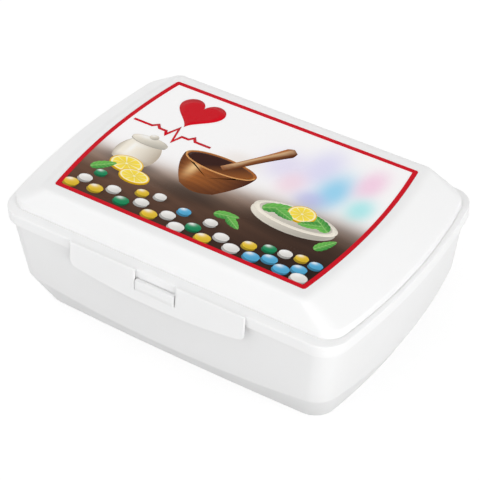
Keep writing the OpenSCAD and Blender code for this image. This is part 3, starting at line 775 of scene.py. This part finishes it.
def tray_skin():
    """The tray: outside up the wall, the rim as a flat web between the cells, and each cell down
    to its floor with a wide round at the bottom. The web is triangulated between the rings."""
    under = at_height(tray_outline(TRAY_Z, 0), TRAY_Z)
    middle = under.mean(0)
    outer = eased([middle + (under - middle) * 0.5, under,
                   at_height(tray_outline(TRAY_TOP, 0), TRAY_TOP),
                   at_height(tray_outline(TRAY_TOP, 0.45), TRAY_TOP)], [0, 0.6, 0.4, 0], 5)
    cells = tray_cells()
    n = outer.shape[1]
    base = len(outer) * n
    verts = [outer.reshape(-1, 3), outer[:1].mean(1)]
    quads, tris = [quads_of(len(outer), n)], [fan(base, 0, n)]
    loops = [np.arange(base - n, base)]
    base += 1
    for cell in cells:
        k, m = cell.shape[:2]
        verts += [cell.reshape(-1, 3), cell[-1:].mean(1)]
        quads.append(quads_of(k, m)[:, ::-1] + base)
        tris.append(fan(k * m, (k - 1) * m, m)[:, ::-1] + base)
        loops.append(np.arange(m) + base)
        base += k * m + 1
    verts, picked = np.concatenate(verts), np.concatenate(loops)
    ends = np.cumsum([0] + [len(l) for l in loops])
    edges = [fan(0, a, b - a)[:, :0:-1] for a, b in zip(ends[:-1], ends[1:])]
    web = delaunay_2d_cdt([Vector(p[:2]) for p in verts[picked]],
                          np.concatenate(edges).tolist(), [], 1, 1e-6)
    flat, faces = np.array([v[:] for v in web[0]]), np.array(web[2])
    heart = flat[faces].mean(1)
    inside = np.zeros(len(heart), bool)
    for cell in cells:
        shape = cell[0][:, :2]
        way = heart - shape.mean(0)
        inside |= np.linalg.norm(way, axis=1) < nearest_cut(
            shape.mean(0), shape, np.arctan2(way[:, 1], way[:, 0]))
    source = np.array([o[0] for o in web[3]])
    tris.append(picked[source[faces[~inside]]])
    return verts, np.concatenate(quads), np.concatenate(tris)


def tray_key(hand):
    """A key below the tray, which reaches down beside a divider."""
    section = [[-32.85, KEY_Z], [-10.95, KEY_Z], [-10.95, 29.4], [-32.85, 29.4]]
    return bar(hand * KEY_OFF - KEY_HALF, hand * KEY_OFF + KEY_HALF, section)


piece("pill_tray_moulded", [tray_skin(), tray_key(-1), tray_key(1)], "base", ["pill_tray"],
      "tray_plastic")


# ---------------- the printed label

def ink(r, g, b):
    """A colour written as it looks, as light values."""
    return np.array([r, g, b]) ** 2.2


def blend(a, b, t):
    """From a to b by a share, which is kept between 0 and 1."""
    return a + (b - a) * np.clip(t, 0, 1)[..., None]


def soft(x, y, cx, cy, rx, ry, power=2.0):
    """1 in the middle of an ellipse, falling off as a bell outside it."""
    return np.exp(-(((x - cx) / rx) ** 2 + ((y - cy) / ry) ** 2) ** (power / 2))


RED, CREAM = ink(0.80, 0.0, 0.13), ink(0.96, 0.93, 0.87)
WOOD, DEEP = ink(0.62, 0.36, 0.16), ink(0.25, 0.11, 0.05)
TABLET_INK = [ink(0.97, 0.96, 0.94), ink(0.96, 0.80, 0.22), ink(0.12, 0.58, 0.38), ink(0.36, 0.72, 0.90)]

# Where each tablet lies and which ink it has.
TABLETS = [
    (-61, -38, 0), (-52, -42, 1), (-44, -38, 0), (-36, -43, 2), (-27, -39, 0), (-19, -44, 1),
    (-11, -40, 0), (-3, -45, 0), (4, -41, 2), (12, -45, 1), (19, -40, 0), (-57, -31, 2),
    (-31, -33, 1), (27, -44, 0), (-65, -44, 1), (33, -38, 1), (-22, -31, 0), (9, -34, 0),
    (-6, -34, 3), (38, -44, 3), (46, -41, 3), (54, -44, 3), (61, -40, 3), (42, -35, 2),
    (50, -34, 0), (58, -33, 1), (66, -34, 3), (64, -45, 0)]

# Blurred lights on the wall: middle, half sizes, colour and strength.
GLOWS = ((31, 27, 10, 17, (0.84, 0.83, 0.97), 0.7), (45, 15, 9, 15, (0.55, 0.82, 0.95), 0.9),
         (57, 29, 7, 12, (0.97, 0.76, 0.88), 0.7), (14, 20, 12, 12, (0.88, 0.85, 0.96), 0.7),
         (62, 10, 7, 9, (0.62, 0.92, 0.93), 0.8), (-6, 12, 10, 6, (0.93, 0.89, 0.86), 0.6),
         (24, 10, 7, 9, (0.97, 0.82, 0.88), 0.6), (38, 4, 8, 7, (0.72, 0.72, 0.92), 0.7))

# Shadows on the table: middle, half sizes and strength.
SHADOWS = [(-12, -22, 22, 6, 0.6), (38, -20, 25, 6, 0.55), (-48, -24, 14, 5, 0.5),
           (-51, -17, 17, 4, 0.55)] + [(x + 1.2, y - 1.3, 4.4, 2.6, 0.45) for x, y, _ in TABLETS]


def ground_colour(x, y):
    """The print's ground: a white wall with pale blurred lights, a table in the lower part that
    darkens to the right and towards the front, and soft shadows where the things stand."""
    c = ink(0.995, 0.99, 0.99)
    for cx, cy, rx, ry, tint, k in GLOWS:
        c = blend(c, ink(*tint), k * soft(x, y, cx, cy, rx, ry, 2.6))
    edge = -7 + 0.06 * x + 2.0 * np.sin(x / 26.0)
    depth = np.clip((edge - y) / 42, 0, 1)
    right = np.clip((x + 60) / 125, 0, 1)
    table = blend(ink(0.70, 0.60, 0.53), ink(0.47, 0.35, 0.28), depth * 2.2)
    table = blend(table, ink(0.30, 0.20, 0.15), depth * 1.1)
    table = blend(table, ink(0.15, 0.10, 0.08), right ** 1.6 * (0.35 + 0.65 * depth))
    plank = 0.5 * np.sin((y + 0.18 * x) * 1.1 + 1.2 * np.sin(x / 17))
    plank += 0.25 * np.sin((y + 0.15 * x) * 3.7 + x / 9)
    c = blend(c, table * (1 + 0.10 * plank[..., None]), 1 / (1 + np.exp((y - edge) / 2.6)))
    for cx, cy, rx, ry, k in SHADOWS:
        c = c * (1 - k * soft(x, y, cx, cy, rx, ry, 3.0))[..., None]
    return np.clip(c, 0.002, 0.985)


def printed_ground():
    """The ground as a sheet, with its colours. Its grid runs from side to side on lines that
    follow the bowed outline, and its lower face is one fan, a hair below."""
    rows, cols = 200, 285
    right = one_side(film(0.02), 1, 0)
    y = np.linspace(right[0, 1], right[-1, 1], rows)
    px = np.interp(y, right[:, 1], right[:, 0])[:, None] * np.linspace(-1, 1, cols)
    py = np.broadcast_to(y[:, None], px.shape)
    top = np.stack([px, py, np.full(px.shape, TOP_Z - 0.12)], -1).reshape(-1, 3)
    base = len(top)
    node = np.arange(base).reshape(rows, cols)
    loop = np.concatenate([node[0, :-1], node[:-1, -1], node[-1, :0:-1], node[:0:-1, 0]])
    n = len(loop)
    verts = np.concatenate([top, top[loop] - [0, 0, 0.06], [[0, 0, TOP_Z - 0.18]]])
    a = np.arange(n)
    b = (a + 1) % n
    sides = np.stack([loop[b], loop, base + a, base + b], 1)
    quads = np.concatenate([quads_of(rows, cols, wrap_cols=False), sides])
    colour = np.concatenate([ground_colour(px, py).reshape(-1, 3), np.full((n + 1, 3), 0.85)])
    return (verts, quads, fan(base + n, base, n)), colour


class Ink:
    """Printed shapes, each a thin closed leaf that lies a hair higher than the one before it."""

    RISE, THICK = 0.0012, 0.012

    def __init__(self):
        self.skins, self.colours, self.level = [], [], TOP_Z - 0.117

    def leaf(self, centre, edge, colour, rings):
        """A shape from its middle out to its edge. Each ring is the edge drawn towards the middle,
        and the colour is worked out at each point from its place and its share of the way out."""
        self.level += self.RISE
        low = self.level - self.THICK
        c = np.asarray(centre, float)
        share = np.linspace(1, 0.04, rings) ** 0.9
        p = c + (edge - c) * share[:, None, None]
        top = np.concatenate([p, np.full(p.shape[:2] + (1,), self.level)], -1)
        shape = np.concatenate([at_height(edge, low)[None], top])
        self.skins.append(closed_loft(shape, [[*c, low], [*c, self.level]]))
        shade = colour(p[..., 0], p[..., 1], np.broadcast_to(share[:, None], p.shape[:2]))
        shade = np.clip(np.concatenate([shade[:1], shade]).reshape(-1, 3), 0.002, 0.97)
        middle = colour(*c[:, None], np.zeros(1))
        self.colours.append(np.concatenate([shade, middle, middle]))

    def disc(self, x, y, rx, ry, colour, n, rings):
        """An elliptical leaf with n points round its edge."""
        self.leaf((x, y), oval(x, y, rx, ry, n), colour, rings)

    def strip(self, line, width, colour):
        """A line of even width with mitred corners, as a thin closed leaf."""
        self.level += self.RISE
        p = np.asarray(line, float)
        d = np.diff(p, axis=0)
        d /= np.linalg.norm(d, axis=1, keepdims=True)
        n = np.stack([-d[:, 1], d[:, 0]], 1)
        m = np.concatenate([n[:1], n[1:] + n[:-1], n[-1:]])
        m /= np.linalg.norm(m, axis=1, keepdims=True)
        m *= width / 2 / np.maximum((m * np.concatenate([n[:1], n])).sum(1, keepdims=True), 0.45)
        ring = [at_height(q, self.level - h)
                for q, h in ((p + m, 0), (p - m, 0), (p - m, self.THICK), (p + m, self.THICK))]
        end = 4 * len(p)
        caps = np.array([[0, 1, 2, 3], [end - 1, end - 2, end - 3, end - 4]])
        quads = np.concatenate([quads_of(len(p), 4), caps])
        self.skins.append((np.stack(ring, 1).reshape(-1, 3), quads, NO_TRIS))
        self.colours.append(np.broadcast_to(colour, (end, 3)))


def plain(tint):
    """One colour all over."""
    return lambda x, y, s: np.broadcast_to(tint, x.shape + (3,))


def lit(tint, cx, cy, rx, ry, glow, shade):
    """A round thing under a light from the upper left: a bell of light there, and darker by the
    slope on the lower right."""
    def colour(x, y, s):
        u, v = (x - cx) / rx, (y - cy) / ry
        dark = np.clip(0.5 + 0.55 * u - 0.6 * v, 0, 1.3) * shade
        return blend(tint * (1 - dark)[..., None], 0.95, glow * soft(u, v, -0.35, 0.4, 0.33, 0.3))
    return colour


def foot_arc(x0, x1, sag):
    """The lower edge of a round thing: from one side to the other, sagging as half a sine."""
    t = np.linspace(0, np.pi, 16)
    return np.stack([np.linspace(x0, x1, 16), -17 - sag * np.sin(t)], 1)[1:-1]


def paint_mortar(page):
    """A wooden mortar: the inside of its mouth, the pestle, which is a long club that leans out of
    it, the bowl in front, and a light line along its lip."""
    page.disc(-12, 4, 20.5, 6.2, lambda x, y, s: blend(
        WOOD * 1.1, ink(0.95, 0.78, 0.52), 0.8 * (s > 0.93) * (x < 2)), 64, 12)
    page.disc(-12, 3.8, 18.6, 5.1, lambda x, y, s: blend(
        DEEP * 0.7, WOOD, np.minimum((x + 12) / 26 - (y - 4) / 14, 0.8)), 64, 10)

    t = np.linspace(0, 1, 26)
    spine = np.array([-10.0, 2.0]) + t[:, None] * np.array([23.0, 30.0])
    across = np.array([30.0, -23.0]) / np.hypot(30, 23)
    thick = across * (2.3 + 1.9 * t ** 3 - 32 * np.maximum(t - 0.93, 0))[:, None]

    def club_colour(x, y, s):
        k = ((x + 10) * across[0] + (y - 2) * across[1]) / 3.6
        c = blend(WOOD * 1.25, DEEP, 0.45 + 0.6 * k)
        return blend(c, ink(0.98, 0.86, 0.68), 0.55 * np.exp(-((k + 0.35) / 0.22) ** 2))
    page.leaf(spine[12], np.concatenate([spine + thick, (spine - thick)[::-1]]), club_colour, 6)

    a, b = np.linspace(np.pi, 2 * np.pi, 44), np.linspace(0, 1, 22)
    lip = [-12, 4] + [20.5, 6.2] * rays(a)
    wall = np.stack([8.5 - 11.0 * b ** 1.7, 4 - 21.0 * b], 1)
    bowl = np.concatenate([lip, wall[1:], foot_arc(-2.5, -21.5, 2.6), (wall * [-1, 1] - [24, 0])[:0:-1]])

    def bowl_colour(x, y, s):
        k = (x + 12) / 20.0
        c = blend(WOOD, DEEP, 0.25 + 0.75 * k)
        c = blend(c, DEEP, np.minimum((-0.55 - k) / 0.5, 0.7))
        grain = 0.10 * np.sin(y * 2.1 + 2 * np.cos(x / 5)) + 0.06 * np.sin(y * 5.3 + x / 3)
        c = blend(c * (1 + grain)[..., None], DEEP, np.minimum((-12 - y) / 9, 0.5))
        return blend(c, ink(1.0, 0.84, 0.60), 0.75 * soft(x, y, -22, -4, 2.6, 6.5))
    page.leaf((-12, -8), bowl, bowl_colour, 22)
    page.strip([-12, 3.9] + [19.6, 5.7] * rays(a), 0.9, ink(0.85, 0.60, 0.36))


def paint_jar(page):
    """A bellied cream jar, whose half width follows a sine of its height, with a domed lid."""
    rise = np.linspace(0, 1, 30)
    belly = 9.6 + 2.2 * np.sin(np.pi * rise ** 0.8) - 1.6 * rise ** 6
    side = np.stack([-52 + belly, -17 + 17 * rise], 1)
    body = np.concatenate([side, (side * [-1, 1] - [104, 0])[::-1], foot_arc(-61.6, -42.4, 2.2)])

    def jar_colour(x, y, s):
        k = (x + 52) / 11.8
        c = blend(CREAM, ink(0.60, 0.52, 0.43), np.maximum(0.16 + 0.62 * k, 0) ** 1.3)
        c = blend(c, ink(0.52, 0.44, 0.36),
                  np.clip((-0.72 - k) / 0.5, 0, 0.5) + np.clip((-13 - y) / 9, 0, 0.35))
        return blend(c, ink(1.0, 0.99, 0.97), 0.9 * soft(x, y, -56.6, -7, 1.5, 6.0))
    page.leaf((-52, -9), body, jar_colour, 14)
    page.disc(-52, 0.2, 10.2, 2.6, lit(CREAM * 0.62, -52, 0, 14, 4, 0.1, 0.4), 48, 4)
    page.disc(-52, 1.4, 10.4, 3.4, lit(CREAM, -52, 1.4, 12, 5, 0.7, 0.45), 48, 8)
    page.disc(-52, 5.0, 2.6, 2.0, lit(CREAM, -52, 5.0, 3.4, 2.6, 0.8, 0.5), 32, 6)


def paint_dish(page):
    """An empty cream dish with a round rim."""
    page.disc(40, -13, 22.5, 9.0, lit(CREAM, 40, -11, 24, 12, 0.3, 0.42), 72, 10)
    page.disc(40, -10.6, 22.5, 7.4, lit(CREAM * 1.02, 40, -10, 30, 14, 0.2, 0.12), 72, 8)
    page.disc(40, -10.4, 19.6, 5.9, lit(CREAM * 0.72, 46, -14, 22, 9, 0.1, 0.35), 72, 8)


def lemon_slice(page, cx, cy, r, squash, turn):
    """A lemon slice: rind, pith, and nine segments by the angle round its middle."""
    peel, pith, flesh = ink(0.95, 0.74, 0.10), ink(0.99, 0.96, 0.78), ink(0.97, 0.86, 0.30)

    def colour(x, y, s):
        way = np.arctan2((y - cy) / (r * squash), (x - cx) / r) + turn
        inner = (s < 0.83) & (s > 0.1) & (abs(np.sin(way * 4.5)) > 0.16)
        c = np.where(inner[..., None], flesh * (0.9 + 0.18 * s)[..., None], pith)
        return np.where((s > 0.93)[..., None], peel, c)
    page.disc(cx + 0.3, cy - 1.0, r, r * squash, plain(peel * 0.62), 72, 3)
    page.disc(cx, cy, r, r * squash, colour, 96, 18)


def mint_leaf(page, cx, cy, length, width, turn):
    """A mint leaf: a pointed oval with a toothed edge, lighter along its veins."""
    a = turns(56)
    x = length * np.cos(a)
    y = width * np.sin(a) * (1 - 0.35 * np.cos(a)) * (1 + 0.06 * np.sin(a * 14))
    c, s = np.cos(turn), np.sin(turn)

    def colour(px, py, share):
        u = ((px - cx) * c + (py - cy) * s) / length
        v = (-(px - cx) * s + (py - cy) * c) / width
        green = blend(ink(0.16, 0.50, 0.22), ink(0.42, 0.74, 0.32), 0.55 + 0.45 * v)
        vein = np.exp(-(v / 0.09) ** 2)
        vein += 0.5 * np.exp(-((abs(v) * 1.2 - (u * 3.2) % 1.0) / 0.12) ** 2)
        return blend(green, ink(0.72, 0.88, 0.55), 0.5 * vein)
    page.leaf((cx, cy), np.stack([cx + x * c - y * s, cy + x * s + y * c], 1), colour, 9)


def paint_wares(page):
    """A wooden mortar with its pestle left of the middle, a jar behind lemon slices on the left, a
    dish with leaves and a lemon slice on the right, and round tablets along the front, drawn from
    the back to the front and larger the nearer they lie."""
    paint_mortar(page)
    paint_jar(page)
    paint_dish(page)
    for paint, *place in (
            (mint_leaf, 29, -8.5, 7.5, 3.2, 0.5), (mint_leaf, 52, -8.0, 7.0, 3.0, 2.6),
            (lemon_slice, 41, -6.5, 7.2, 0.78, 0.3), (mint_leaf, 34, -11.0, 6.0, 2.6, -0.3),
            (mint_leaf, 48, -11.3, 5.6, 2.4, 3.5), (lemon_slice, -51, -19, 9.2, 0.62, 0.1),
            (lemon_slice, -42, -25, 8.4, 0.55, 0.5), (mint_leaf, -60, -25.5, 6.4, 2.8, 0.7),
            (mint_leaf, 12, -26, 6.2, 2.6, 0.25), (mint_leaf, 17.5, -29, 5.2, 2.3, -0.5),
            (mint_leaf, 62, -20, 5.8, 2.6, 1.0)):
        paint(page, *place)
    for x, y, k in sorted(TABLETS, key=lambda t: -t[1]):
        tint, r, q = TABLET_INK[k], 3.2 - 0.07 * (y + 30), 2.1 - 0.045 * (y + 30)
        page.disc(x, y - 1.4, r, q, lit(tint * 0.6, x, y - 1, r * 1.6, q * 2, 0.1, 0.5), 36, 3)
        page.disc(x, y, r, q, lit(tint, x, y, r * 1.5, q * 1.5, 0.85, 0.3), 36, 6)


def paint_signs(page):
    """A heart with a pulse line below it, both in the border's red."""
    a = turns(120)
    heart = np.stack([16 * np.sin(a) ** 3,
                      13 * np.cos(a) - 5 * np.cos(2 * a) - 2 * np.cos(3 * a) - np.cos(4 * a)], 1)
    page.leaf((-45, 33), heart * 0.8 + [-45, 33], plain(RED), 4)
    beat = [(-70, 0), (-59, 0), (-56.5, 2.2), (-54.5, 0), (-50.5, 0), (-49, -2.4), (-46, 5.2),
            (-43, -5.6), (-41, 0), (-37, 0), (-35, 2.4), (-33, 0), (-24, 0)]
    page.strip([(x, 12.5 + y) for x, y in beat], 1.5, RED)


def red_border():
    """The red border as a band between the film's edge and a line inside it."""
    low, high = TOP_Z - 0.14, TOP_Z - 0.005
    edge, line = film(0.02), film(BORDER)
    return closed_band(np.array([at_height(edge, low), at_height(edge, high),
                                 at_height(line, high), at_height(line, low)]))


page = Ink()
paint_wares(page)
paint_signs(page)
ground, ground_ink = printed_ground()
border = red_border()
border_ink = np.broadcast_to(RED, (len(border[0]), 3))
piece("label_ground", [ground], "lid", ["lid_label"], "label_film", ground_ink, 180)
piece("label_wares", page.skins, "lid", [], "label_film", np.concatenate(page.colours), 180)
piece("label_border", [border], "lid", [], "label_film", border_ink, 30)


# ---------------- floor, light and camera

# The lights of the dome: the way to each, its strength, and the power that narrows it. Then the
# tones of the floor, and the camera's focal length and the picture's width in pixels.
LIGHTS = (((0.96, -0.28, 0), 5.4, 14), ((0.2, -0.97, 0.1), 1.12, 8), ((-0.97, 0.2, 0), 1.28, 1))
# The middle floor tone is painted shade: the floor is darker below the object for light that bounces
# onto the tub.
FLOOR_GLOW, BOUNCE_SHADE_TONE, PAPER_TONE = 0.76, 0.38, 0.66
FOCAL_PIXELS, PICTURE_PIXELS = 1784.8, 480


def seen_directly(tree):
    """1 for a ray that the camera, gloss or glass sends out, else 0."""
    ray = put(tree, "LightPath").outputs
    seen = calc(tree, "MAXIMUM", ray["Is Camera Ray"], ray["Is Glossy Ray"])
    return calc(tree, "MAXIMUM", seen, ray["Is Transmission Ray"])


def studio_floor():
    """A white floor. What is seen directly is mostly a glow of its own, which keeps a part of the
    object's shadow. Other rays meet white paper, painted darker below the object: a painted shade
    that dims the light bounced onto the tub's foot."""
    mesh = bpy.data.meshes.new("studio_floor")
    mesh.from_pydata([(-4, -4, 0), (4, -4, 0), (4, 4, 0), (-4, 4, 0)], [], [(0, 1, 2, 3)])
    m, tree, shader = bare_material("studio_floor", Roughness=0.9, Specular_IOR_Level=0.0,
                                    Emission_Color=(1, 1, 1, 1))
    seen = seen_directly(tree)
    # Painted shade: for bounced light the floor is darker within 0.1 m of the middle, rising to the
    # paper's tone at 0.18 m.
    away = put(tree, "VectorMath", operation="LENGTH", Vector=object_place(tree)).outputs["Value"]
    bounce_shade = put(tree, "MapRange", Value=away, From_Min=0.1, From_Max=0.18,
               To_Min=BOUNCE_SHADE_TONE, To_Max=PAPER_TONE).outputs["Result"]
    tone = put(tree, "Mix", data_type="RGBA", Factor=seen, A=bounce_shade, B=(0.3, 0.3, 0.3, 1))
    feed(tree, shader, Base_Color=tone.outputs["Result"],
         Emission_Strength=calc(tree, "MULTIPLY", seen, FLOOR_GLOW))
    mesh.materials.append(m)
    placed("studio_floor", mesh)


def studio_world():
    """A dome with a strong light low on the right, a softer one at the front, and a broad weak
    fill from the left. Each is a power of how far a direction leans towards the light. The camera,
    gloss and glass see plain white."""
    world = bpy.data.worlds.new("studio")
    bpy.context.scene.world = world
    world.use_nodes = True
    tree = world.node_tree
    place = put(tree, "TexCoord").outputs["Generated"]
    total = 0.0
    for towards, strength, power in LIGHTS:
        dot = put(tree, "VectorMath", operation="DOT_PRODUCT", Vector=place)
        plug(tree, dot.inputs[1], towards)
        lean = calc(tree, "MULTIPLY_ADD", dot.outputs["Value"], 0.5, 0.5)
        total = calc(tree, "MULTIPLY_ADD", calc(tree, "POWER", lean, power), strength, total)
    level = put(tree, "Mix", Factor=seen_directly(tree), A=total, B=1.0)
    feed(tree, tree.nodes["Background"], Color=(1, 1, 1, 1), Strength=level.outputs["Result"])


def photo_camera():
    """The camera that was fitted to the photograph: its directions, then its place as a distance
    from the middle of the label along them."""
    side, high, roll = np.radians([35.43, 39.75, -1.88])
    back = np.array([np.sin(side) * np.cos(high), -np.cos(side) * np.cos(high), np.sin(high)])
    right = np.array([np.cos(side), np.sin(side), 0])
    up = np.cross(back, right)
    right, up = (right * np.cos(roll) + up * np.sin(roll), up * np.cos(roll) - right * np.sin(roll))
    place = np.array([0, -MID_Y, TOP_Z]) + back * 845.9 + right * 1.56 - up * 29.57
    data = bpy.data.cameras.new("photo_camera")
    data.sensor_width = 36
    data.lens = FOCAL_PIXELS / PICTURE_PIXELS * 36
    data.clip_start, data.clip_end = 0.05, 20
    thing = placed("photo_camera", data)
    thing.matrix_world = Matrix([[right[i], up[i], back[i], place[i] * MM] for i in range(3)]
                                + [[0, 0, 0, 1]])
    bpy.context.scene.camera = thing


studio_floor()
studio_world()
photo_camera()
bpy.context.scene.view_settings.view_transform = "Standard"
